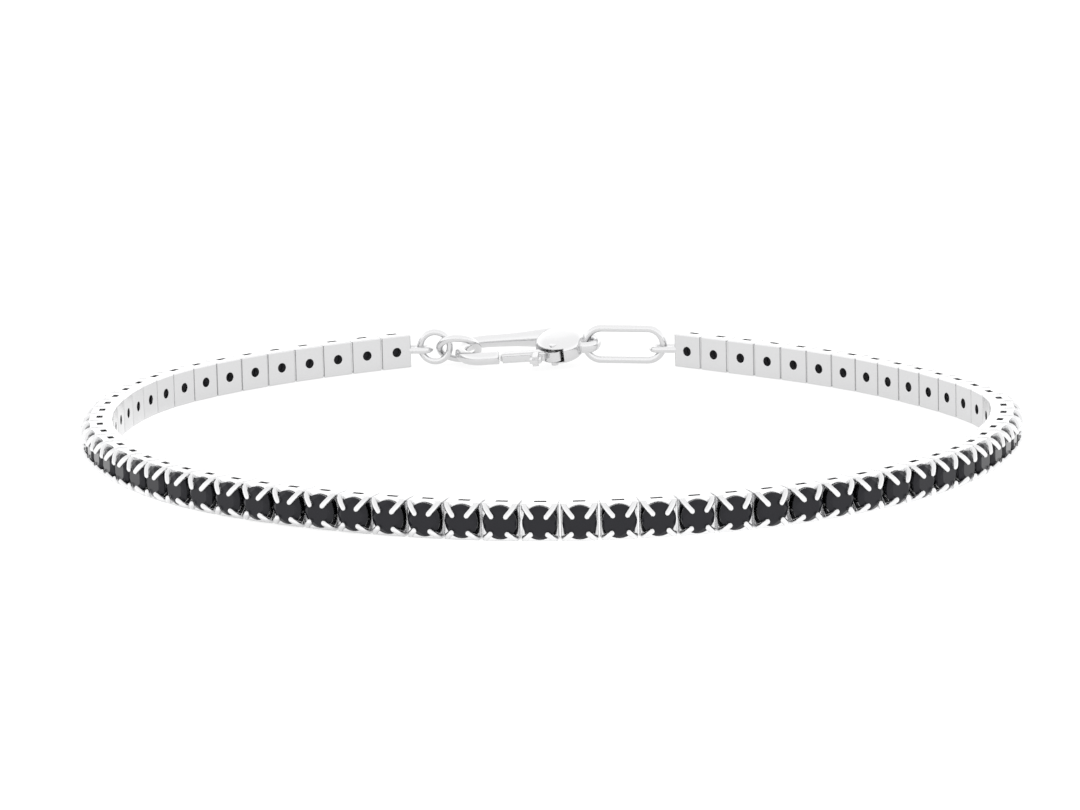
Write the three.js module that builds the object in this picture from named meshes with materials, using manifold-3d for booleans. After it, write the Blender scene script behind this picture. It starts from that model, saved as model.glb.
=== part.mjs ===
// A tennis bracelet lying closed on its edge: round black stones in four-prong cups, and a lobster clasp.
// Millimetres, +Z up, the middle of the stones towards -Y, the clasp at +Y, resting on z = 0.
import * as THREE from "three";
import { ConvexGeometry } from "three/addons/geometries/ConvexGeometry.js";
import { mergeVertices } from "three/addons/utils/BufferGeometryUtils.js";
import Module from "manifold-3d";

const wasm = await Module();
wasm.setup();

// The string of cups
const STONES_EACH_WAY = 34; // to each side of the middle stone
const LAST_STONE = Math.round(STONES_EACH_WAY); // a whole stone at each end
const PITCH = 2.3;
const CUP_GAP = 0.14;
const CUP_WIDTH = PITCH - CUP_GAP;
const CUP_HEIGHT = 2.3;
const CUP_BACK = 0.8; // from the line of the string in to the cup's back
const CUP_RIM = 0.74; // from the line of the string out to the cup's rim
const BACK_HOLE_DIAMETER = 0.66;
const BACK_HOLE_DEPTH = 0.5;
const BACK_HOLE_SIDES = 8;

// The small bar that joins each cup to the next
const LINK_HEIGHT = 0.9;
const LINK_DEPTH = 0.5;
const LINK_BITE = 0.1; // how far it runs into each cup
const MIDDLE_GAP = 0.06; // between the two strings, at the middle stone

// The stones
const STONE_DIAMETER = 2.05;
const STONE_SIDES = 8;
const GIRDLE_RISE = 0.04; // the stone's edge in front of the cup's rim
const TABLE_DIAMETER = 1.5;
const TABLE_RISE = 0.24; // the stone's table in front of its edge

// The prongs, straight from the rim's corners over the stone's edge
const PRONG_FOOT = 0.42; // along each edge of the rim, from its corner
const PRONG_TIP = 0.24;
const PRONG_REACH = 0.46; // from the stone's middle to a tip's middle, along and up
const LOWER_REACH = 0.6; // from the stone's middle down to a lower tip's middle
const PRONG_OVER = 0.16; // the tip's underside in front of the stone's table

// The run of the string, seen from above: shares of its mean radius at equal angles from the front
const LOOP_SHARES = [
  0.971, 0.992, 1.003, 0.997, 0.916, 0.922, 1.081, 1.063, 1.086, 1.041, 0.983, 0.945,
];
const MIDDLE_SLIDE = -1.26; // from the run's front point along to the middle stone

// The half ring soldered to each end of the string, lying flat
const LOOP_WIRE = 0.45;
const LOOP_WIDTH = 1.5;
const LOOP_FOOT = 0.5; // how far its feet run into the cup
const LEFT_LOOP_REACH = 1.9;
const RIGHT_LOOP_REACH = 2.25;

// The rings
const WIRE_SIDES = 6;
const RING_SIDES = 14;
const JUMP_DIAMETER = 2.5;
const JUMP_WIRE = 0.45;
const CATCH_DIAMETER = 3.2;
const CATCH_WIRE = 0.5;
const CATCH_TILT = THREE.MathUtils.degToRad(42); // its inner side raised
const TAIL_RING_HEIGHT = 2.7;
const TAIL_RING_LENGTH = 5.9;
const TAIL_RING_WIRE = 0.5;
const TAIL_RING_PITCH = THREE.MathUtils.degToRad(1); // its clasp end raised
const JUMP_RAISED = 0.17; // the jump ring's middle above the cups' middle
const CATCH_RAISED = 0.04; // the catch ring's
const TAIL_RING_RAISED = 0.3; // the tail ring's
const RING_GAP = 0.24; // between two rings that pull on each other
const HOOK_GAP = 0.52; // between the catch ring's wire and the hook, which it crosses aslant
const TAIL_GAP = 0.3; // between each bent end of the tail ring and what it holds

// The lobster clasp: x from the hook's nose to the tail, y across it, the lever on the -y side
const NOSE_HEIGHT = 0.95; // from the surface up to the middle of the nose
const CLASP_PITCH = THREE.MathUtils.degToRad(3.5); // its tail raised
const CLASP_ROLL = THREE.MathUtils.degToRad(13); // its lever side lowered
const CLASP_LENGTH = 10.2;
const HOOK_WIDTH = 3.9;
const ARM_WIDTH = 0.85;
const ARM_THICKNESS = 0.9;
const HOOK_TIP = 3.2; // from the nose to the end of the hook
const MOUTH_LENGTH = 5; // the opening between arm and lever
const SHOULDER_WIDTH = 4;
const SHOULDER_THICKNESS = 1.7;
const SHOULDER_LENGTH = 3.4;
const SHOULDER_LAP = 0.2; // how far it reaches into the mouth
const ARM_BEVEL = 0.22;
const SHOULDER_BEVEL = 0.4;
const TAIL_DIAMETER = 2;
const TAIL_HOLE_DIAMETER = 0.95;
const TAIL_THICKNESS = 0.8;
const CURVE_SIDES = 10; // facets of half a turn in the clasp's outlines

// The clasp's lever, in a slot of the shoulder, on a pin of the body
const LEVER_THICKNESS = 0.7;
const LEVER_WIDTH = 0.75;
const LEVER_GAP = 0.12; // all round the lever
const LEVER_BOSS_DIAMETER = 1.2;
const LEVER_SWING = THREE.MathUtils.degToRad(20);
const PIN_DIAMETER = 0.5;
const PIN_FROM_MOUTH = 1.2; // from the mouth's end along to the pin
const TAB_WIDTH = 0.8;
const TAB_REACH = 0.9; // beyond the lever's outer side

// What the sizes above add up to
const STONE_SEAT = CUP_RIM + GIRDLE_RISE;
const STONE_TABLE = STONE_SEAT + TABLE_RISE;
const CUP_MIDDLE = CUP_HEIGHT / 2;
const SILVER = 0xdcdcde;

function toSolid(geometry) {
  const bare = geometry.index ? geometry.toNonIndexed() : geometry.clone();
  bare.deleteAttribute("normal");
  bare.deleteAttribute("uv");
  const merged = mergeVertices(bare, 1e-4);
  return new wasm.Manifold(
    new wasm.Mesh({
      numProp: 3,
      vertProperties: merged.attributes.position.array,
      triVerts: new Uint32Array(merged.index.array),
    }),
  );
}

function toGeometry(solid) {
  const mesh = solid.getMesh();
  const geometry = new THREE.BufferGeometry();
  geometry.setAttribute("position", new THREE.BufferAttribute(mesh.vertProperties, mesh.numProp));
  geometry.setIndex(new THREE.BufferAttribute(mesh.triVerts, 1));
  geometry.computeVertexNormals();
  return geometry;
}

function box(width, depth, height, x, y, z) {
  return new THREE.BoxGeometry(width, depth, height).translate(x, y, z);
}

// A round bar whose axis runs along z
function upright(radius, height, sides) {
  return new THREE.CylinderGeometry(radius, radius, height, sides).rotateX(Math.PI / 2);
}

// One stone, its axis along -y: edge, slanted crown facets and flat table, running back into the cup
function stone() {
  const profile = [
    [0, 0],
    [STONE_DIAMETER / 2, 0],
    [STONE_DIAMETER / 2, STONE_SEAT],
    [TABLE_DIAMETER / 2, STONE_TABLE],
    [0, STONE_TABLE],
  ].map(([radius, height]) => new THREE.Vector2(radius, height));
  return new THREE.LatheGeometry(profile, STONE_SIDES)
    .rotateY(Math.PI / STONE_SIDES)
    .rotateX(Math.PI)
    .translate(0, 0, CUP_MIDDLE);
}

// One prong: a three-sided bar that leans from a corner of the rim in over the stone's edge
function prong(side, level) {
  const cornerX = CUP_WIDTH / 2;
  const points = [];
  for (const [x, z] of [[0, 0], [PRONG_FOOT, 0], [0, PRONG_FOOT]]) {
    points.push(new THREE.Vector3(side * (cornerX - x), -CUP_RIM, level * (CUP_MIDDLE - z)));
  }
  const half = PRONG_TIP / 2;
  const tipX = PRONG_REACH;
  const tipZ = level > 0 ? PRONG_REACH : LOWER_REACH;
  const under = STONE_TABLE + PRONG_OVER;
  points.push(new THREE.Vector3(side * (tipX + half), -(under + half), level * (tipZ + half)));
  points.push(new THREE.Vector3(side * (tipX - half), -under, level * (tipZ + half)));
  points.push(new THREE.Vector3(side * (tipX + half), -under, level * (tipZ - half)));
  return new ConvexGeometry(points).translate(0, 0, CUP_MIDDLE);
}

// One cup with its stone, the string running along x and the stone towards -y
function cup() {
  const depth = CUP_BACK + CUP_RIM;
  let solid = toSolid(
    box(CUP_WIDTH, depth, CUP_HEIGHT, 0, CUP_BACK - depth / 2, CUP_MIDDLE),
  ).add(toSolid(stone()));
  for (const side of [-1, 1]) {
    for (const level of [-1, 1]) {
      solid = solid.add(toSolid(prong(side, level)));
    }
  }
  const hole = new THREE.CylinderGeometry(
    BACK_HOLE_DIAMETER / 2,
    BACK_HOLE_DIAMETER / 2,
    2 * BACK_HOLE_DEPTH,
    BACK_HOLE_SIDES,
  ).translate(0, CUP_BACK, CUP_MIDDLE);
  return solid.subtract(toSolid(hole));
}

// The closed run of the string, level at z = 0, for a mean radius
function run(meanRadius) {
  const points = LOOP_SHARES.map((share, i) => {
    const angle = (i / LOOP_SHARES.length) * 2 * Math.PI;
    return new THREE.Vector3(Math.sin(angle), -Math.cos(angle), 0).multiplyScalar(share * meanRadius);
  });
  const curve = new THREE.CatmullRomCurve3(points, true, "centripetal");
  curve.arcLengthDivisions = 1200;
  return curve;
}

// Where the string is, and which way it heads, at a length along it from the middle stone
function placeOn(curve, along) {
  const share = ((((along + MIDDLE_SLIDE) / curve.getLength()) % 1) + 1) % 1;
  const point = curve.getPointAt(share);
  const heading = curve.getTangentAt(share);
  return { point, heading, angle: Math.atan2(heading.y, heading.x) };
}

// The outer face of the last cup on one side
function endOf(curve, side) {
  const { point, heading } = placeOn(curve, side * LAST_STONE * PITCH);
  return point.addScaledVector(heading, (side * CUP_WIDTH) / 2);
}

// The places along the clasp's line, from the left cup's face to the right one's
const LEFT_LOOP_X = LEFT_LOOP_REACH - LOOP_WIRE / 2;
const JUMP_RADIUS = (JUMP_DIAMETER - JUMP_WIRE) / 2;
const JUMP_X = LEFT_LOOP_X - (LOOP_WIRE + JUMP_WIRE) / 2 - RING_GAP + JUMP_RADIUS;
const CATCH_RADIUS = (CATCH_DIAMETER - CATCH_WIRE) / 2;
const CATCH_X = JUMP_X + JUMP_RADIUS - (JUMP_WIRE + CATCH_WIRE) / 2 - RING_GAP + CATCH_RADIUS;
const CLASP_X = CATCH_X + CATCH_RADIUS - CATCH_WIRE / 2 - HOOK_GAP - ARM_WIDTH;
const TAIL_WALL = (TAIL_DIAMETER - TAIL_HOLE_DIAMETER) / 2;
const EYE_END_X = CLASP_X + (CLASP_LENGTH - TAIL_WALL) * Math.cos(CLASP_PITCH);
const TAIL_RING_X = EYE_END_X - TAIL_GAP - TAIL_RING_WIRE;
const TAIL_RING_SPAN = TAIL_RING_LENGTH * Math.cos(TAIL_RING_PITCH);
const RIGHT_LOOP_X = TAIL_RING_X + TAIL_RING_SPAN - TAIL_RING_WIRE - TAIL_GAP - LOOP_WIRE;
const CLASP_SPAN = RIGHT_LOOP_X + RIGHT_LOOP_REACH;

// The run whose two ends leave just the clasp's span between them
function runForClasp() {
  let low = (LAST_STONE * PITCH) / 4;
  let high = LAST_STONE * PITCH;
  for (let i = 0; i < 40; i++) {
    const middle = (low + high) / 2;
    const curve = run(middle);
    const span = endOf(curve, 1).distanceTo(endOf(curve, -1));
    const turned = curve.getLength() < 2 * LAST_STONE * PITCH + CUP_WIDTH;
    if (turned || span < CLASP_SPAN) low = middle;
    else high = middle;
  }
  return run(high);
}

const route = runForClasp();
const leftEnd = endOf(route, -1);
const claspLine = endOf(route, 1).sub(leftEnd);
const claspFrame = new THREE.Matrix4()
  .makeRotationZ(Math.atan2(claspLine.y, claspLine.x))
  .setPosition(leftEnd);

// A bent round wire through a list of points
function wire(points, diameter, steps) {
  const section = new THREE.Shape();
  for (let i = 0; i < WIRE_SIDES; i++) {
    const angle = (i / WIRE_SIDES) * 2 * Math.PI;
    const corner = [(Math.cos(angle) * diameter) / 2, (Math.sin(angle) * diameter) / 2];
    if (i) section.lineTo(...corner);
    else section.moveTo(...corner);
  }
  const path = new THREE.CatmullRomCurve3(points);
  return new THREE.ExtrudeGeometry(section, { steps, extrudePath: path, bevelEnabled: false });
}

// A half ring lying flat, its two feet in a cup at x = 0, reaching along +x
function endLoop(reach) {
  const radius = (LOOP_WIDTH - LOOP_WIRE) / 2;
  const straight = reach - LOOP_WIDTH / 2;
  const points = [new THREE.Vector3(-LOOP_FOOT, -radius, 0)];
  for (const degrees of [-90, -45, 0, 45, 90]) {
    const angle = THREE.MathUtils.degToRad(degrees);
    points.push(
      new THREE.Vector3(straight + radius * Math.cos(angle), radius * Math.sin(angle), 0),
    );
  }
  points.push(new THREE.Vector3(-LOOP_FOOT, radius, 0));
  return wire(points, LOOP_WIRE, RING_SIDES);
}

// A round wire ring in the xy plane, drawn out along x to a length where one is given
function ring(diameter, thickness, length = diameter) {
  const geometry = new THREE.TorusGeometry(
    (diameter - thickness) / 2,
    thickness / 2,
    WIRE_SIDES,
    RING_SIDES,
  ).rotateZ(Math.PI / RING_SIDES);
  const position = geometry.attributes.position;
  for (let i = 0; i < position.count; i++) {
    position.setX(i, position.getX(i) + (Math.sign(position.getX(i)) * (length - diameter)) / 2);
  }
  return geometry;
}

// A flat plate of a plan outline, its edges bevelled, its middle at z = 0
function plate(outline, thickness, bevel) {
  return new THREE.ExtrudeGeometry(outline, {
    depth: thickness - 2 * bevel,
    bevelThickness: bevel,
    bevelSize: bevel,
    bevelOffset: -bevel,
    bevelSegments: 1,
    curveSegments: CURVE_SIDES,
  }).translate(0, 0, bevel - thickness / 2);
}

const HOOK_RADIUS = HOOK_WIDTH / 2;
const MOUTH_RADIUS = HOOK_RADIUS - ARM_WIDTH;
const MOUTH_END = ARM_WIDTH + MOUTH_LENGTH;
const ARM_Y = HOOK_RADIUS - ARM_WIDTH / 2;
const PIN_X = MOUTH_END + PIN_FROM_MOUTH;
const EYE_X = CLASP_LENGTH - TAIL_DIAMETER / 2;

// The hook: one arm bent right round the nose, with the mouth inside it
function hookPlate() {
  const outline = new THREE.Shape();
  outline.moveTo(HOOK_RADIUS, -HOOK_RADIUS);
  outline.absarc(HOOK_RADIUS, 0, HOOK_RADIUS, -Math.PI / 2, Math.PI / 2, true);
  outline.lineTo(PIN_X, HOOK_RADIUS);
  outline.lineTo(PIN_X, -HOOK_RADIUS);
  const mouth = new THREE.Path();
  mouth.moveTo(MOUTH_END, -MOUTH_RADIUS);
  mouth.lineTo(MOUTH_END, MOUTH_RADIUS);
  mouth.lineTo(HOOK_RADIUS, MOUTH_RADIUS);
  mouth.absarc(HOOK_RADIUS, 0, MOUTH_RADIUS, Math.PI / 2, -Math.PI / 2, false);
  outline.holes.push(mouth);
  return plate(outline, ARM_THICKNESS, ARM_BEVEL);
}

// The thick middle of the clasp, which holds the lever's slot
function shoulderPlate() {
  const outline = new THREE.Shape();
  outline.absellipse(
    MOUTH_END - SHOULDER_LAP + SHOULDER_LENGTH / 2,
    0,
    SHOULDER_LENGTH / 2,
    SHOULDER_WIDTH / 2,
    0,
    2 * Math.PI,
    false,
  );
  return plate(outline, SHOULDER_THICKNESS, SHOULDER_BEVEL);
}

// The flat eye that the tail ring goes through
function tailPlate() {
  const radius = TAIL_DIAMETER / 2;
  const outline = new THREE.Shape();
  outline.moveTo(PIN_X, -radius);
  outline.lineTo(EYE_X, -radius);
  outline.absarc(EYE_X, 0, radius, -Math.PI / 2, Math.PI / 2, false);
  outline.lineTo(PIN_X, radius);
  return plate(outline, TAIL_THICKNESS, ARM_BEVEL);
}

function claspBody() {
  const slotInner = Math.max(
    LEVER_BOSS_DIAMETER / 2,
    LEVER_WIDTH / 2 + PIN_FROM_MOUTH * Math.sin(LEVER_SWING),
  );
  const slotEnd = PIN_X + LEVER_BOSS_DIAMETER / 2 + LEVER_GAP;
  const slotDepth = SHOULDER_WIDTH;
  const slot = box(
    slotEnd - HOOK_TIP,
    slotDepth,
    LEVER_THICKNESS + 2 * LEVER_GAP,
    (slotEnd + HOOK_TIP) / 2,
    slotInner + LEVER_GAP - ARM_Y - slotDepth / 2,
    0,
  );
  const gate = box(
    MOUTH_END - HOOK_TIP,
    ARM_WIDTH + MOUTH_RADIUS,
    SHOULDER_THICKNESS,
    (MOUTH_END + HOOK_TIP) / 2,
    -(ARM_WIDTH + MOUTH_RADIUS) / 2,
    0,
  );
  const eye = upright(TAIL_HOLE_DIAMETER / 2, 2 * TAIL_THICKNESS, CURVE_SIDES);
  const pin = upright(PIN_DIAMETER / 2, SHOULDER_THICKNESS - SHOULDER_BEVEL, 8);
  return toSolid(hookPlate())
    .subtract(toSolid(gate))
    .add(toSolid(shoulderPlate()))
    .add(toSolid(tailPlate()))
    .subtract(toSolid(slot))
    .subtract(toSolid(eye.translate(EYE_X, 0, 0)))
    .add(toSolid(pin.translate(PIN_X, -ARM_Y, 0)));
}

// The lever, closed: from its boss on the pin to just short of the hook's tip, with a thumb tab
function claspLever() {
  const start = HOOK_TIP + LEVER_GAP;
  const blade = box(
    PIN_X - start,
    LEVER_WIDTH,
    LEVER_THICKNESS,
    (PIN_X + start) / 2,
    -ARM_Y,
    0,
  );
  const tabDepth = LEVER_WIDTH / 2 + TAB_REACH;
  const tab = box(
    TAB_WIDTH,
    tabDepth,
    LEVER_THICKNESS,
    MOUTH_END,
    -ARM_Y - tabDepth / 2,
    0,
  );
  const boss = upright(LEVER_BOSS_DIAMETER / 2, LEVER_THICKNESS, 12);
  const bore = upright(PIN_DIAMETER / 2 + LEVER_GAP, 2 * LEVER_THICKNESS, 12);
  return toSolid(blade)
    .add(toSolid(tab))
    .add(toSolid(boss.translate(PIN_X, -ARM_Y, 0)))
    .subtract(toSolid(bore.translate(PIN_X, -ARM_Y, 0)));
}

// The bar from one cup to the next one along +x, up to a gap short of it where one is given
function link(gap) {
  const reach = gap > 0 ? CUP_GAP - gap : CUP_GAP + LINK_BITE;
  return box(
    LINK_BITE + reach,
    LINK_DEPTH,
    LINK_HEIGHT,
    (CUP_WIDTH - LINK_BITE + reach) / 2,
    0,
    CUP_MIDDLE,
  );
}

// A row of cups, from one stone to another, with its links and its end loop
function string(first, last, loopSide) {
  const oneCup = toGeometry(cup());
  let solid = null;
  for (let i = first; i <= last; i++) {
    const { point, angle } = placeOn(route, i * PITCH);
    const place = new THREE.Matrix4().makeRotationZ(angle).setPosition(point);
    let piece = toSolid(oneCup.clone().applyMatrix4(place));
    if (i < last || loopSide < 0) {
      const gap = i < last ? 0 : MIDDLE_GAP;
      piece = piece.add(toSolid(link(gap).applyMatrix4(place)));
    }
    solid = solid ? solid.add(piece) : piece;
  }
  const reach = loopSide < 0 ? LEFT_LOOP_REACH : RIGHT_LOOP_REACH;
  const loop = endLoop(reach).translate(0, 0, CUP_MIDDLE);
  if (loopSide > 0) loop.rotateZ(Math.PI).translate(CLASP_SPAN, 0, 0);
  return solid.add(toSolid(loop.applyMatrix4(claspFrame)));
}

function piece(name, solidOrGeometry, color, roughness, metalness) {
  const geometry = solidOrGeometry.isBufferGeometry
    ? solidOrGeometry
    : toGeometry(solidOrGeometry);
  const material = new THREE.MeshStandardMaterial({ color, roughness, metalness });
  const mesh = new THREE.Mesh(geometry, material);
  mesh.name = name;
  return mesh;
}

function silver(name, solidOrGeometry) {
  return piece(name, solidOrGeometry, SILVER, 0.15, 1);
}

const bracelet = new THREE.Group();
bracelet.add(silver("string_left", string(-LAST_STONE, -1, -1)));
bracelet.add(silver("string_right", string(0, LAST_STONE, 1)));

const clasp = new THREE.Group();
clasp.applyMatrix4(claspFrame);
const jumpRing = silver("jump_ring", ring(JUMP_DIAMETER, JUMP_WIRE));
jumpRing.rotation.x = Math.PI / 2;
jumpRing.position.set(JUMP_X, 0, CUP_MIDDLE + JUMP_RAISED);
const catchRing = silver("catch_ring", ring(CATCH_DIAMETER, CATCH_WIRE));
catchRing.rotation.x = -CATCH_TILT;
catchRing.position.set(CATCH_X, 0, CUP_MIDDLE + CATCH_RAISED);
const tailRing = silver("tail_ring", ring(TAIL_RING_HEIGHT, TAIL_RING_WIRE, TAIL_RING_LENGTH));
tailRing.rotation.set(Math.PI / 2, 0, -TAIL_RING_PITCH);
tailRing.position.set(TAIL_RING_X + TAIL_RING_SPAN / 2, 0, CUP_MIDDLE + TAIL_RING_RAISED);
const body = silver("clasp_body", claspBody());
body.position.set(CLASP_X, 0, NOSE_HEIGHT);
body.rotation.set(CLASP_ROLL, -CLASP_PITCH, 0, "YXZ");
const lever = silver("clasp_lever", claspLever());
lever.position.copy(body.position);
lever.rotation.copy(body.rotation);
clasp.add(jumpRing, catchRing, tailRing, body, lever);
bracelet.add(clasp);

// The middle of the whole is at x = y = 0
const bounds = new THREE.Box3().setFromObject(bracelet, true);
const middle = bounds.getCenter(new THREE.Vector3());
bracelet.position.set(-middle.x, -middle.y, -bounds.min.z);

export default bracelet;
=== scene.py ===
"""Looks of the tennis bracelet: cups with their stones, rings and clasp, a white studio and the camera.

Sizes are in millimetres and turn into metres where a mesh is made. Angles are in radians.
"""

import math

import bmesh
import bpy
import numpy as np
from mathutils import Matrix, Vector

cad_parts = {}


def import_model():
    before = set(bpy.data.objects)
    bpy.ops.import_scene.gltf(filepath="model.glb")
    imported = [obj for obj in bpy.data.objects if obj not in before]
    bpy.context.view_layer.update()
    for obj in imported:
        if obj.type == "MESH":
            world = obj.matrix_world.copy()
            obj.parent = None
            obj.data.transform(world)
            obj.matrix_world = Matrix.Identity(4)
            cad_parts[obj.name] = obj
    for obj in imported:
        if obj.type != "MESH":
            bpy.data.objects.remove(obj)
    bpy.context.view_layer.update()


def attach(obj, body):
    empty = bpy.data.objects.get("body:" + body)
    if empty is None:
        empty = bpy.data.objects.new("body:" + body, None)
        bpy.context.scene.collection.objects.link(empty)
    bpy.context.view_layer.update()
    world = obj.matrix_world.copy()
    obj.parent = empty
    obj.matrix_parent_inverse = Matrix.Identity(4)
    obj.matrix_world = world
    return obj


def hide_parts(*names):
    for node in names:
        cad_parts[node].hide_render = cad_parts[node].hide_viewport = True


MM = 0.001

# The materials' numbers on a mesh
SILVER_NUMBER = 0
STONE_NUMBER = 1

# Longer than any piece that is cut through
CUTTER_LENGTH = 4

# The string, as the solids have it
STONES_EACH_WAY = 34
PITCH = 2.3
CUP_WIDTH = 2.16
CUP_HEIGHT = 2.3
CUP_MIDDLE = CUP_HEIGHT / 2
CUP_BACK = 0.8
CUP_RIM = 0.74
LOOP_SHARES = (
    0.971, 0.992, 1.003, 0.997, 0.916, 0.922, 1.081, 1.063, 1.086, 1.041, 0.983, 0.945,
)
LOOP_RADIUS = 28.350
LOOP_CENTRE = (0.649, -0.473)
MIDDLE_SLIDE = -1.26

# The cup's finer shape
CUP_EDGE = 0.07
POCKET_RADIUS = 1.0
POCKET_FLOOR = 0.35
BACK_HOLE_RADIUS = 0.33
ARC_HALF = 0.85
LEVEL_ARC_DEPTH = 0.08
SIDE_ARC_DEPTH = 0.35
WINDOW_WIDTH = 0.75
WINDOW_DEPTH = 0.4
WINDOW_Y = -0.05
PRONG_RADIUS = 0.18
UPPER_PRONG = (
    (0.92, -0.1, 0.98),
    (0.93, -0.53, 0.99),
    (0.85, -0.84, 0.89),
    (0.65, -1.03, 0.66),
    (0.44, -1.13, 0.42),
)
LOWER_PRONG = (
    (0.92, -0.1, 0.98),
    (0.93, -0.53, 0.98),
    (0.86, -0.82, 0.91),
    (0.7, -1.0, 0.77),
    (0.51, -1.11, 0.62),
)
LINK_HEIGHT = 2.0
LINK_DEPTH = 0.9
LINK_Y = 0.23
LINK_SUNK = 0.1

# The stone
STONE_RADIUS = 1.03
GIRDLE_Y = -0.8
GIRDLE_THICKNESS = 0.06
TABLE_RADIUS = 0.74
TABLE_Y = -1.02
CROWN_BULGE_RADIUS = 0.02
CROWN_BULGE_Y = 0.03
BELLY = (0.8, -0.25)
BACK = (0.5, 0.3)

# The rings and the clasp, in the clasp's own frame: x from the left cup's face to the right one's
CLASP_ORIGIN = (-9.863, 27.961)
CLASP_TURN = math.radians(-6.314)
CLASP_SPAN = 19.156
LOOP_WIRE = 0.45
LOOP_WIDTH = 1.5
LEFT_LOOP_REACH = 1.9
RIGHT_LOOP_REACH = 2.25
LOOP_ROOT = 0.4
JUMP = {"x": 2.01, "z": CUP_MIDDLE + 0.17, "width": 2.5, "length": 2.5, "wire": 0.45}
CATCH = {"x": 3.67, "z": CUP_MIDDLE + 0.04, "width": 3.2, "length": 3.2, "wire": 0.5}
CATCH_TILT = math.radians(42)
TAIL = {"x": 15.207, "z": CUP_MIDDLE + 0.3, "width": 2.7, "length": 5.9, "wire": 0.5}
TAIL_PITCH = math.radians(1)
RING_STEPS = 64
RING_SIDES = 16
CLASP_X = 3.40
NOSE_HEIGHT = 0.95
CLASP_PITCH = math.radians(3.5)
CLASP_ROLL = math.radians(13)
HOOK_RADIUS = 1.95
ARM_WIDTH = 0.85
ARM_THICKNESS = 0.9
ARM_Y = HOOK_RADIUS - ARM_WIDTH / 2
# Places along the arm, and how far it has swollen there
ARM_SWELL = ((6.75, 3), (6.2, 2.5), (5.6, 1.8), (4.9, 1.1), (4.1, 0.5), (3.1, 0.1))
SWELL_SHIFT = 0.04
SWELL_WIDTH = 0.08
SWELL_THICKNESS = 0.1
HOOK_TIP = 3.2
MOUTH_END = 5.85
PIN_X = 7.05
PIN_RADIUS = 0.25
PIN_LENGTH = 1.5
EYE_X = 9.2
EYE_RADIUS = 1.0
EYE_HOLE_RADIUS = 0.475
EYE_THICKNESS = 0.8
EYE_ROOT_LENGTH = 1.3
EYE_ROOT_Y = 0.3
# Half the shoulder's length, width and thickness, and how round it is: 0 is a box and 1 a ball
SHOULDER = (1.7, 2.0, 0.85)
SHOULDER_ROUNDNESS = 0.62
SHOULDER_X = 7.35
SLOT_DEPTH = 0.91
LEVER_WIDTH = 0.75
LEVER_THICKNESS = 0.7
LEVER_GAP = 0.12
BOSS_RADIUS = 0.6
BLADE_IN_BOSS = 0.15
BLADE_EDGE = 0.16
TAB_WIDTH = 0.8
TAB_REACH = 0.9
TAB_EDGE = 0.2

# The materials
SILVER_COLOUR = (0.66, 0.66, 0.665, 1)
SILVER_ROUGHNESS = (0.1, 0.2)
SILVER_GRAIN_SCALE = 900.0
SILVER_GRAIN_STRENGTH = 0.08
SILVER_GRAIN_HEIGHT = 0.03
SILVER_EDGE_RADIUS = 0.05
STONE_COLOUR = (0.012, 0.012, 0.015, 1)
STONE_ROUGHNESS = 0.12
STONE_IOR = 1.27
FLOOR_COLOUR = (0.22, 0.22, 0.22, 1)
FLOOR_ROUGHNESS = 0.9
FLOOR_SHINE = 0.1
FLOOR_HALF_WIDTH = 3000
FLOOR_DROP = 0.02

# The light: the room's brightness by direction, and the floor's glow by place
FRONT_LIGHT = 1.25
BACK_LIGHT = 1.45
OVERHEAD_LIGHT = 1.15
OVERHEAD_START = 0.3
OVERHEAD_FULL = 0.7
INNER_FLOOR_GLOW = 0.7
FRONT_FLOOR_GLOW = 1.1
INNER_FLOOR_RADIUS = 27.5
OUTER_FLOOR_RADIUS = 29.3
FRONT_FLOOR_END = 0
BACK_FLOOR_START = 18
EXPOSURE = 0.2

# The camera, from the photograph
CAMERA_DISTANCE = 345.5
CAMERA_HEIGHT_ANGLE = math.radians(11.514)
CAMERA_PITCH = math.radians(11.272)
CAMERA_YAW = math.radians(-0.209)
CAMERA_ROLL = math.radians(1.422)
CAMERA_LENS = 179.2
CAMERA_SENSOR = 36


def closed_run(points):
    """Smooth closed curve through the points, as (places, lengths), by centripetal Catmull-Rom."""
    points = [np.array(p) for p in points]
    count = len(points)
    steps = np.linspace(0, 1, 200, endpoint=False)
    places = []
    for i in range(count):
        a, b, c, d = (points[(i + k) % count] for k in (-1, 0, 1, 2))
        gaps = [math.sqrt(np.linalg.norm(q - p)) for p, q in ((a, b), (b, c), (c, d))]
        out = (b - a) / gaps[0] - (c - a) / (gaps[0] + gaps[1]) + (c - b) / gaps[1]
        into = (c - b) / gaps[1] - (d - b) / (gaps[1] + gaps[2]) + (d - c) / gaps[2]
        out, into = out * gaps[1], into * gaps[1]
        for t in steps:
            places.append(
                b
                + out * t
                + (-3 * b + 3 * c - 2 * out - into) * t**2
                + (2 * b - 2 * c + out + into) * t**3
            )
    places = np.array(places + [places[0]])
    lengths = np.concatenate([[0], np.cumsum(np.linalg.norm(np.diff(places, axis=0), axis=1))])
    return places, lengths


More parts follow.
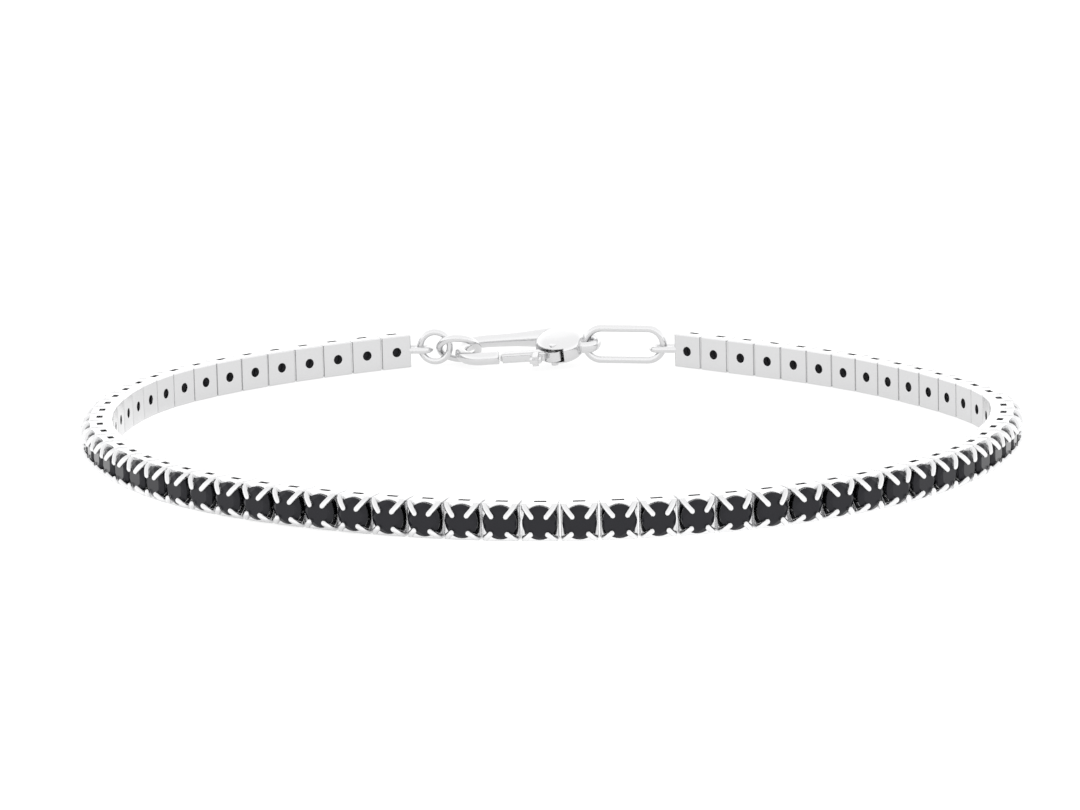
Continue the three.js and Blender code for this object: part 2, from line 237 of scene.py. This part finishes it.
def string_places():
    """Where each cup sits on the run: a matrix in millimetres, from the left end to the right end."""
    points = []
    for i, share in enumerate(LOOP_SHARES):
        angle = i / len(LOOP_SHARES) * 2 * math.pi
        radius = share * LOOP_RADIUS
        points.append((radius * math.sin(angle), -radius * math.cos(angle)))
    places, lengths = closed_run(points)
    whole = lengths[-1]

    def at(along):
        along %= whole
        return np.array([np.interp(along, lengths, places[:, k]) for k in (0, 1)])

    matrices = []
    for i in range(-STONES_EACH_WAY, STONES_EACH_WAY + 1):
        along = MIDDLE_SLIDE + i * PITCH
        x, y = at(along) + np.array(LOOP_CENTRE)
        dx, dy = at(along + 0.02) - at(along - 0.02)
        turn = Matrix.Rotation(math.atan2(dy, dx), 4, "Z")
        matrices.append(Matrix.Translation((x, y, CUP_MIDDLE)) @ turn)
    return matrices


def new_object(name, mesh):
    made = bpy.data.objects.new(name, mesh)
    bpy.context.scene.collection.objects.link(made)
    return made


def bmesh_object(name, shape):
    mesh = bpy.data.meshes.new(name)
    shape.to_mesh(mesh)
    shape.free()
    return new_object(name, mesh)


def box_shape(width, depth, height, x=0.0, y=0.0, z=0.0):
    shape = bmesh.new()
    bmesh.ops.create_cube(
        shape,
        size=1,
        matrix=Matrix.Translation((x, y, z)) @ Matrix.Diagonal((width, depth, height, 1)),
    )
    return shape


def rod_shape(radius, length, axis, sides=48, at=(0, 0, 0)):
    """A round rod with its middle at a point, along X, Y or Z."""
    turns = {"X": Matrix.Rotation(math.pi / 2, 4, "Y"), "Y": Matrix.Rotation(math.pi / 2, 4, "X")}
    shape = bmesh.new()
    bmesh.ops.create_cone(
        shape,
        cap_ends=True,
        segments=sides,
        radius1=radius,
        radius2=radius,
        depth=length,
        matrix=Matrix.Translation(at) @ turns.get(axis, Matrix()),
    )
    return shape


def cut(target, shape):
    """Takes a shape away from an object."""
    tool = bmesh_object("cutter", shape)
    change = target.modifiers.new("cut", "BOOLEAN")
    change.operation = "DIFFERENCE"
    change.solver = "EXACT"
    change.object = tool
    with bpy.context.temp_override(object=target, active_object=target):
        bpy.ops.object.modifier_apply(modifier=change.name)
    bpy.data.objects.remove(tool)


def tube_shape(path, widths, depths, sides=12, round_ends=(True, True)):
    """A closed tube along a path, its section an ellipse of the given half widths (level) and half depths."""
    shape = bmesh.new()
    points = [Vector(p) for p in path]
    count = len(points)
    rings = []

    def frame(i):
        ahead = points[min(i + 1, count - 1)] - points[max(i - 1, 0)]
        ahead.normalize()
        up = Vector((0, 0, 1)) if abs(ahead.z) < 0.9 else Vector((1, 0, 0))
        side = ahead.cross(up).normalized()
        return ahead, side, side.cross(ahead)

    def ring(centre, side, up, width, depth):
        made = []
        for k in range(sides):
            angle = k / sides * 2 * math.pi
            made.append(
                shape.verts.new(
                    centre + side * (width * math.cos(angle)) + up * (depth * math.sin(angle))
                )
            )
        return made

    def cap(i, outward):
        ahead, side, up = frame(i)
        made = []
        for angle in (75, 45, 20):
            away = math.cos(math.radians(angle)) * min(widths[i], depths[i]) * outward
            share = math.sin(math.radians(angle))
            made.append(
                ring(points[i] + ahead * away, side, up, widths[i] * share, depths[i] * share)
            )
        return made

    if round_ends[0]:
        rings += reversed(cap(0, -1))
    for i in range(count):
        ahead, side, up = frame(i)
        rings.append(ring(points[i], side, up, widths[i], depths[i]))
    if round_ends[1]:
        rings += cap(count - 1, 1)
    for a, b in zip(rings, rings[1:]):
        for k in range(sides):
            shape.faces.new((a[k], b[k], b[(k + 1) % sides], a[(k + 1) % sides]))
    shape.faces.new(rings[0])
    shape.faces.new(list(reversed(rings[-1])))
    bmesh.ops.recalc_face_normals(shape, faces=shape.faces)
    for face in shape.faces:
        face.smooth = True
    return shape


def smooth_path(points, steps):
    """Points along an open Catmull-Rom curve through the given ones."""
    points = [Vector(p) for p in points]
    ends = [2 * points[0] - points[1], *points, 2 * points[-1] - points[-2]]
    made = []
    for i in range(1, len(ends) - 2):
        a, b, c, d = ends[i - 1 : i + 3]
        for k in range(steps):
            t = k / steps
            made.append(
                0.5
                * (
                    2 * b
                    + (c - a) * t
                    + (2 * a - 5 * b + 4 * c - d) * t**2
                    + (3 * b - a - 3 * c + d) * t**3
                )
            )
    return made + [points[-1]]


def cup_object():
    """One cup without its prongs: open box with a round pocket, arched rims, two windows and a back hole."""
    depth = CUP_BACK + CUP_RIM
    block = box_shape(CUP_WIDTH, depth, CUP_HEIGHT, 0, CUP_BACK - depth / 2)
    bmesh.ops.bevel(
        block,
        geom=list(block.edges),
        offset=CUP_EDGE,
        segments=2,
        profile=0.5,
        affect="EDGES",
    )
    cup = bmesh_object("cup", block)
    pocket_middle = POCKET_FLOOR - CUTTER_LENGTH / 2
    cut(cup, rod_shape(POCKET_RADIUS, CUTTER_LENGTH, "Y", 40, (0, pocket_middle, 0)))
    cut(cup, rod_shape(BACK_HOLE_RADIUS, CUTTER_LENGTH, "Y", 24))
    for depth, axis in ((LEVEL_ARC_DEPTH, "Z"), (SIDE_ARC_DEPTH, "X")):
        radius = (ARC_HALF**2 + depth**2) / (2 * depth)
        centre = (0, depth - CUP_RIM - radius, 0)
        cut(cup, rod_shape(radius, CUTTER_LENGTH, axis, 64, centre))
    cut(cup, box_shape(WINDOW_WIDTH, WINDOW_DEPTH, CUTTER_LENGTH, 0, WINDOW_Y))
    return cup


def stone_shape():
    """A round cut stone, its table towards -y: table, star, kite and rim facets, and a narrower flat back."""
    shape = bmesh.new()
    middle_radius = (TABLE_RADIUS + STONE_RADIUS) / 2 + CROWN_BULGE_RADIUS
    middle_y = (TABLE_Y + GIRDLE_Y) / 2 - CROWN_BULGE_Y
    rows = (
        (TABLE_RADIUS, TABLE_Y, 8, 0.5),
        (middle_radius, middle_y, 8, 0.0),
        (STONE_RADIUS, GIRDLE_Y, 32, 0.0),
        (STONE_RADIUS, GIRDLE_Y + GIRDLE_THICKNESS, 32, 0.0),
        (*BELLY, 16, 0.5),
        (*BACK, 16, 0.5),
    )
    for radius, y, count, offset in rows:
        for k in range(count):
            angle = (k + offset) / count * 2 * math.pi
            shape.verts.new((radius * math.cos(angle), y, radius * math.sin(angle)))
    bmesh.ops.convex_hull(shape, input=shape.verts)
    bmesh.ops.recalc_face_normals(shape, faces=shape.faces)
    return shape


def mesh_arrays(mesh, material):
    """Corners, faces, smoothness and material number of a mesh."""
    corners = np.array([v.co[:] for v in mesh.vertices])
    faces = [tuple(p.vertices) for p in mesh.polygons]
    smooth = [p.use_smooth for p in mesh.polygons]
    return corners, faces, smooth, [material] * len(faces)


def gather(parts):
    """One set of arrays from several."""
    corners, faces, smooth, numbers = [], [], [], []
    start = 0
    for part in parts:
        corners.append(part[0])
        faces += [tuple(i + start for i in face) for face in part[1]]
        smooth += part[2]
        numbers += part[3]
        start += len(part[0])
    return np.vstack(corners), faces, smooth, numbers


def moved(part, matrix):
    m = np.array(matrix)
    return part[0] @ m[:3, :3].T + m[:3, 3], part[1], part[2], part[3]


def shape_arrays(shape, material):
    mesh = bpy.data.meshes.new("part")
    shape.to_mesh(mesh)
    shape.free()
    made = mesh_arrays(mesh, material)
    bpy.data.meshes.remove(mesh)
    return made


def object_from(name, part, materials):
    """A mesh object in metres from arrays in millimetres."""
    mesh = bpy.data.meshes.new(name)
    mesh.from_pydata((part[0] * MM).tolist(), [], part[1])
    mesh.polygons.foreach_set("use_smooth", part[2])
    for material in materials:
        mesh.materials.append(material)
    mesh.polygons.foreach_set("material_index", part[3])
    mesh.update()
    return new_object(name, mesh)


def unit_arrays():
    """One cup with its prongs and stone."""
    cup = cup_object()
    parts = [mesh_arrays(cup.data, SILVER_NUMBER)]
    bpy.data.objects.remove(cup)
    for side in (-1, 1):
        for level, prong in ((1, UPPER_PRONG), (-1, LOWER_PRONG)):
            path = smooth_path(prong, 2)
            radii = [PRONG_RADIUS] * len(path)
            mirrored = [(p[0] * side, p[1], p[2] * level) for p in path]
            parts.append(shape_arrays(tube_shape(mirrored, radii, radii, 10), SILVER_NUMBER))
    parts.append(shape_arrays(stone_shape(), STONE_NUMBER))
    return gather(parts)


def link_arrays():
    """The short bar from one cup to the next."""
    length = PITCH - CUP_WIDTH + 2 * LINK_SUNK
    shape = box_shape(length, LINK_DEPTH, LINK_HEIGHT, PITCH / 2, LINK_Y)
    return shape_arrays(shape, SILVER_NUMBER)


def end_loop_arrays(reach):
    """A half ring lying flat, its feet in a cup at x = 0."""
    radius = (LOOP_WIDTH - LOOP_WIRE) / 2
    straight = reach - LOOP_WIDTH / 2
    path = [(-LOOP_ROOT, -radius, 0), (0, -radius, 0), (straight / 2, -radius, 0)]
    for k in range(13):
        angle = math.radians(-90 + 15 * k)
        path.append((straight + radius * math.cos(angle), radius * math.sin(angle), 0))
    path += [(straight / 2, radius, 0), (0, radius, 0), (-LOOP_ROOT, radius, 0)]
    radii = [LOOP_WIRE / 2] * len(path)
    return shape_arrays(tube_shape(path, radii, radii, 14, (False, False)), SILVER_NUMBER)


def clasp_frame():
    """The clasp's own frame: its start at the left cup's face, x towards the right cup's face."""
    return Matrix.Translation((*CLASP_ORIGIN, 0)) @ Matrix.Rotation(CLASP_TURN, 4, "Z")


def string_object(name, first, last, loop_side, materials):
    """A row of cups and stones from one stone's number to another, with its end loop."""
    places = string_places()
    unit = unit_arrays()
    link = link_arrays()
    parts = []
    for i in range(first, last + 1):
        matrix = places[i + STONES_EACH_WAY]
        parts.append(moved(unit, matrix))
        if i < last or loop_side < 0:
            parts.append(moved(link, matrix))
    if loop_side < 0:
        matrix = Matrix.Translation((0, 0, CUP_MIDDLE))
        loop = end_loop_arrays(LEFT_LOOP_REACH)
    else:
        matrix = Matrix.Translation((CLASP_SPAN, 0, CUP_MIDDLE)) @ Matrix.Rotation(math.pi, 4, "Z")
        loop = end_loop_arrays(RIGHT_LOOP_REACH)
    parts.append(moved(loop, clasp_frame() @ matrix))
    return object_from(name, gather(parts), materials)


def ring_object(name, ring, turn, material):
    """A wire ring, round or drawn out along x, made level and then turned about its middle."""
    stretch = (ring["length"] - ring["width"]) / 2
    major = (ring["width"] - ring["wire"]) / 2
    shape = bmesh.new()
    rows = []
    for i in range(RING_STEPS):
        angle = (i + 0.5) / RING_STEPS * 2 * math.pi
        row = []
        for k in range(RING_SIDES):
            lean = k / RING_SIDES * 2 * math.pi
            reach = major + ring["wire"] / 2 * math.cos(lean)
            x = reach * math.cos(angle)
            x += math.copysign(stretch, x)
            row.append(
                shape.verts.new((x, reach * math.sin(angle), ring["wire"] / 2 * math.sin(lean)))
            )
        rows.append(row)
    for i in range(RING_STEPS):
        a, b = rows[i], rows[(i + 1) % RING_STEPS]
        for k in range(RING_SIDES):
            after = (k + 1) % RING_SIDES
            shape.faces.new((a[k], b[k], b[after], a[after]))
    bmesh.ops.recalc_face_normals(shape, faces=shape.faces)
    for face in shape.faces:
        face.smooth = True
    place = clasp_frame() @ Matrix.Translation((ring["x"], 0, ring["z"])) @ turn
    return object_from(name, moved(shape_arrays(shape, SILVER_NUMBER), place), [material])


def soft_block(radii, power, rings=24, sides=48):
    """A rounded block: a ball whose section is drawn towards a box by a power under 1."""
    shape = bmesh.new()

    def draw(value):
        return math.copysign(abs(value) ** power, value)

    rows = []
    for i in range(1, rings):
        tilt = math.pi * (i / rings - 0.5)
        row = []
        for k in range(sides):
            turn = k / sides * 2 * math.pi
            row.append(
                shape.verts.new(
                    (
                        radii[0] * math.cos(tilt) ** power * math.cos(turn),
                        radii[1] * math.cos(tilt) ** power * math.sin(turn),
                        radii[2] * draw(math.sin(tilt)),
                    )
                )
            )
        rows.append(row)
    for a, b in zip(rows, rows[1:]):
        for k in range(sides):
            shape.faces.new((a[k], a[(k + 1) % sides], b[(k + 1) % sides], b[k]))
    shape.faces.new(list(reversed(rows[0])))
    shape.faces.new(rows[-1])
    bmesh.ops.recalc_face_normals(shape, faces=shape.faces)
    for face in shape.faces:
        face.smooth = True
    return shape


def clasp_place():
    """Where the clasp's body and lever lie: nose low, tail raised, lever side rolled down."""
    pitch = Matrix.Rotation(-CLASP_PITCH, 4, "Y")
    roll = Matrix.Rotation(CLASP_ROLL, 4, "X")
    return clasp_frame() @ Matrix.Translation((CLASP_X, 0, NOSE_HEIGHT)) @ pitch @ roll


def hook_shape():
    """The hook: the arm from the shoulder, thinning towards the round nose, and the short tip."""
    path = [(x, ARM_Y - SWELL_SHIFT * swell, 0) for x, swell in ARM_SWELL]
    half_width = [ARM_WIDTH / 2 + SWELL_WIDTH * swell for _, swell in ARM_SWELL]
    half_depth = [ARM_THICKNESS / 2 + SWELL_THICKNESS * swell for _, swell in ARM_SWELL]
    for k in range(13):
        angle = math.radians(90 + 15 * k)
        path.append((HOOK_RADIUS + ARM_Y * math.cos(angle), ARM_Y * math.sin(angle), 0))
    path += [((HOOK_RADIUS + HOOK_TIP) / 2, -ARM_Y, 0), (HOOK_TIP, -ARM_Y, 0)]
    half_width += [ARM_WIDTH / 2] * (len(path) - len(half_width))
    half_depth += [ARM_THICKNESS / 2] * (len(path) - len(half_depth))
    return tube_shape(path, half_width, half_depth, 20, (True, False))


def shoulder_object():
    """The round shoulder with the slot in which the lever turns."""
    shoulder = bmesh_object("shoulder", soft_block(SHOULDER, SHOULDER_ROUNDNESS))
    shoulder.data.transform(Matrix.Translation((SHOULDER_X, 0, 0)))
    slot_end = PIN_X + BOSS_RADIUS + LEVER_GAP
    slot_inner = SLOT_DEPTH - ARM_Y
    slot = box_shape(
        slot_end - HOOK_TIP,
        SHOULDER[1] * 2,
        LEVER_THICKNESS + 2 * LEVER_GAP,
        (slot_end + HOOK_TIP) / 2,
        slot_inner - SHOULDER[1],
    )
    cut(shoulder, slot)
    return shoulder


def eye_shape():
    """The eye at the clasp's tail: a ring of flat wire with both ends in the shoulder."""
    wire = (EYE_RADIUS - EYE_HOLE_RADIUS) / 2
    middle = (EYE_RADIUS + EYE_HOLE_RADIUS) / 2
    root_x = EYE_X - EYE_ROOT_LENGTH
    path = [(root_x, -EYE_ROOT_Y, 0)]
    for k in range(17):
        angle = math.radians(-160 + 20 * k)
        path.append((EYE_X + middle * math.cos(angle), middle * math.sin(angle), 0))
    path.append((root_x, EYE_ROOT_Y, 0))
    count = len(path)
    return tube_shape(path, [wire] * count, [EYE_THICKNESS / 2] * count, 16, (False, False))


def clasp_body_object(material):
    """The lobster clasp's body: hook, shoulder with the lever's slot and its pin, and the eye."""
    shoulder = shoulder_object()
    pin = rod_shape(PIN_RADIUS, PIN_LENGTH, "Z", 24, (PIN_X, -ARM_Y, 0))
    parts = [
        shape_arrays(hook_shape(), SILVER_NUMBER),
        mesh_arrays(shoulder.data, SILVER_NUMBER),
        shape_arrays(pin, SILVER_NUMBER),
        shape_arrays(eye_shape(), SILVER_NUMBER),
    ]
    bpy.data.objects.remove(shoulder)
    return object_from("clasp_body_shown", moved(gather(parts), clasp_place()), [material])


def bevelled(shape, edge, segments):
    """The shape with all its edges rounded."""
    bmesh.ops.bevel(shape, geom=list(shape.edges), offset=edge, segments=segments, affect="EDGES")
    return shape


def clasp_lever_object(material):
    """The lever, closed: blade, ring-shaped boss round the pin and thumb tab."""
    start = HOOK_TIP + LEVER_GAP
    end = PIN_X - BOSS_RADIUS + BLADE_IN_BOSS
    blade = box_shape(end - start, LEVER_WIDTH, LEVER_THICKNESS, (end + start) / 2, -ARM_Y)
    tab_depth = LEVER_WIDTH / 2 + TAB_REACH
    tab = box_shape(TAB_WIDTH, tab_depth, LEVER_THICKNESS, MOUTH_END, -ARM_Y - tab_depth / 2)
    pin_place = (PIN_X, -ARM_Y, 0)
    boss = bmesh_object("boss", rod_shape(BOSS_RADIUS, LEVER_THICKNESS, "Z", 40, pin_place))
    cut(boss, rod_shape(PIN_RADIUS + LEVER_GAP, CUTTER_LENGTH, "Z", 32, pin_place))
    parts = [
        shape_arrays(bevelled(blade, BLADE_EDGE, 3), SILVER_NUMBER),
        shape_arrays(bevelled(tab, TAB_EDGE, 4), SILVER_NUMBER),
        mesh_arrays(boss.data, SILVER_NUMBER),
    ]
    bpy.data.objects.remove(boss)
    return object_from("clasp_lever_shown", moved(gather(parts), clasp_place()), [material])


def ramp(tree, value, start, end, low, high):
    """A map range node: value between start and end becomes one between low and high.

    Each of the last five is a number or another node's output.
    """
    node = tree.nodes.new("ShaderNodeMapRange")
    names = ("Value", "From Min", "From Max", "To Min", "To Max")
    for name, given in zip(names, (value, start, end, low, high)):
        if isinstance(given, bpy.types.NodeSocket):
            tree.links.new(given, node.inputs[name])
        else:
            node.inputs[name].default_value = given
    return node


def new_material(name):
    """A material with its node tree and its shader."""
    material = bpy.data.materials.new(name)
    material.use_nodes = True
    return material, material.node_tree, material.node_tree.nodes["Principled BSDF"]


def silver_material():
    """Bright polished silver: a little uneven, its edges softly rounded."""
    material, tree, shader = new_material("polished_silver")
    shader.inputs["Base Color"].default_value = SILVER_COLOUR
    shader.inputs["Metallic"].default_value = 1.0
    place = tree.nodes.new("ShaderNodeTexCoord")
    noise = tree.nodes.new("ShaderNodeTexNoise")
    noise.inputs["Scale"].default_value = SILVER_GRAIN_SCALE
    noise.inputs["Detail"].default_value = 3.0
    tree.links.new(place.outputs["Object"], noise.inputs["Vector"])
    roughness = ramp(tree, noise.outputs["Fac"], 0, 1, *SILVER_ROUGHNESS)
    tree.links.new(roughness.outputs["Result"], shader.inputs["Roughness"])
    bump = tree.nodes.new("ShaderNodeBump")
    bump.inputs["Strength"].default_value = SILVER_GRAIN_STRENGTH
    bump.inputs["Distance"].default_value = SILVER_GRAIN_HEIGHT * MM
    tree.links.new(noise.outputs["Fac"], bump.inputs["Height"])
    edge = tree.nodes.new("ShaderNodeBevel")
    edge.samples = 4
    edge.inputs["Radius"].default_value = SILVER_EDGE_RADIUS * MM
    tree.links.new(edge.outputs["Normal"], bump.inputs["Normal"])
    tree.links.new(bump.outputs["Normal"], shader.inputs["Normal"])
    return material


def stone_material():
    """Opaque black polished stone."""
    material, _, shader = new_material("black_stone")
    shader.inputs["Base Color"].default_value = STONE_COLOUR
    shader.inputs["Roughness"].default_value = STONE_ROUGHNESS
    shader.inputs["IOR"].default_value = STONE_IOR
    return material


def floor_glow(tree):
    """How brightly the floor glows: most round the front of the loop, less inside it and behind it."""
    place = tree.nodes.new("ShaderNodeTexCoord").outputs["Object"]
    split = tree.nodes.new("ShaderNodeSeparateXYZ")
    tree.links.new(place, split.inputs["Vector"])
    outside = ramp(
        tree,
        split.outputs["Y"],
        FRONT_FLOOR_END * MM,
        BACK_FLOOR_START * MM,
        FRONT_FLOOR_GLOW,
        INNER_FLOOR_GLOW,
    )
    away = tree.nodes.new("ShaderNodeVectorMath")
    away.operation = "LENGTH"
    tree.links.new(place, away.inputs[0])
    glow = ramp(
        tree,
        away.outputs["Value"],
        INNER_FLOOR_RADIUS * MM,
        OUTER_FLOOR_RADIUS * MM,
        INNER_FLOOR_GLOW,
        outside.outputs["Result"],
    )
    glow.interpolation_type = "SMOOTHSTEP"
    return glow.outputs["Result"]


def floor_object():
    """A plain white floor that glows, as an overexposed one looks."""
    shape = bmesh.new()
    bmesh.ops.create_grid(shape, x_segments=1, y_segments=1, size=FLOOR_HALF_WIDTH * MM)
    floor = bmesh_object("floor", shape)
    floor.location.z = -FLOOR_DROP * MM
    material, tree, shader = new_material("white_floor")
    shader.inputs["Base Color"].default_value = FLOOR_COLOUR
    shader.inputs["Roughness"].default_value = FLOOR_ROUGHNESS
    shader.inputs["Emission Color"].default_value = (1, 1, 1, 1)
    shader.inputs["Specular IOR Level"].default_value = FLOOR_SHINE
    tree.links.new(floor_glow(tree), shader.inputs["Emission Strength"])
    floor.data.materials.append(material)


def light_room():
    """A white room: brighter at the back than at the front, with a softer ceiling."""
    world = bpy.data.worlds.new("studio")
    bpy.context.scene.world = world
    world.use_nodes = True
    tree = world.node_tree
    direction = tree.nodes.new("ShaderNodeTexCoord")
    split = tree.nodes.new("ShaderNodeSeparateXYZ")
    tree.links.new(direction.outputs["Generated"], split.inputs["Vector"])
    sides = ramp(tree, split.outputs["Y"], -1, 1, FRONT_LIGHT, BACK_LIGHT)
    whole = ramp(
        tree,
        split.outputs["Z"],
        OVERHEAD_START,
        OVERHEAD_FULL,
        sides.outputs["Result"],
        OVERHEAD_LIGHT,
    )
    tree.links.new(whole.outputs["Result"], tree.nodes["Background"].inputs["Strength"])
    tree.nodes["Background"].inputs["Color"].default_value = (1, 1, 1, 1)
    bpy.context.scene.view_settings.view_transform = "Standard"
    bpy.context.scene.view_settings.exposure = EXPOSURE


def place_camera():
    """The camera where the photograph's was, aimed and rolled as it was."""
    height, pitch, yaw = CAMERA_HEIGHT_ANGLE, CAMERA_PITCH, CAMERA_YAW
    centre = Vector((*LOOP_CENTRE, CUP_MIDDLE))
    place = centre + CAMERA_DISTANCE * Vector((0, -math.cos(height), math.sin(height)))
    level = Vector((math.sin(yaw), math.cos(yaw), 0))
    ahead = level * math.cos(pitch) - Vector((0, 0, math.sin(pitch)))
    right = Vector((math.cos(yaw), -math.sin(yaw), 0))
    up = right.cross(ahead)
    turned_right = right * math.cos(CAMERA_ROLL) - up * math.sin(CAMERA_ROLL)
    turned_up = right * math.sin(CAMERA_ROLL) + up * math.cos(CAMERA_ROLL)
    camera = bpy.data.cameras.new("photo_camera")
    camera.lens = CAMERA_LENS
    camera.sensor_width = CAMERA_SENSOR
    camera.sensor_fit = "HORIZONTAL"
    camera.clip_start = 0.01
    camera.clip_end = 20
    made = new_object("photo_camera", camera)
    turn = Matrix((turned_right, turned_up, -ahead)).transposed().to_4x4()
    made.matrix_world = Matrix.Translation(place * MM) @ turn
    bpy.context.scene.camera = made


def main():
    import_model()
    silver = silver_material()
    stone = stone_material()
    left = string_object("string_left_shown", -STONES_EACH_WAY, -1, -1, [silver, stone])
    right = string_object("string_right_shown", 0, STONES_EACH_WAY, 1, [silver, stone])
    upright = Matrix.Rotation(math.pi / 2, 4, "X")
    jump = ring_object("jump_ring_shown", JUMP, upright, silver)
    catch = ring_object("catch_ring_shown", CATCH, Matrix.Rotation(-CATCH_TILT, 4, "X"), silver)
    tail_turn = upright @ Matrix.Rotation(-TAIL_PITCH, 4, "Z")
    tail = ring_object("tail_ring_shown", TAIL, tail_turn, silver)
    body = clasp_body_object(silver)
    lever = clasp_lever_object(silver)
    for made, node in (
        (left, "string_left"),
        (right, "string_right"),
        (jump, "jump_ring"),
        (catch, "catch_ring"),
        (tail, "tail_ring"),
        (body, "clasp_body"),
        (lever, "clasp_lever"),
    ):
        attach(made, "lever" if made is lever else "bracelet")
        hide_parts(node)
    floor_object()
    light_room()
    place_camera()


main()
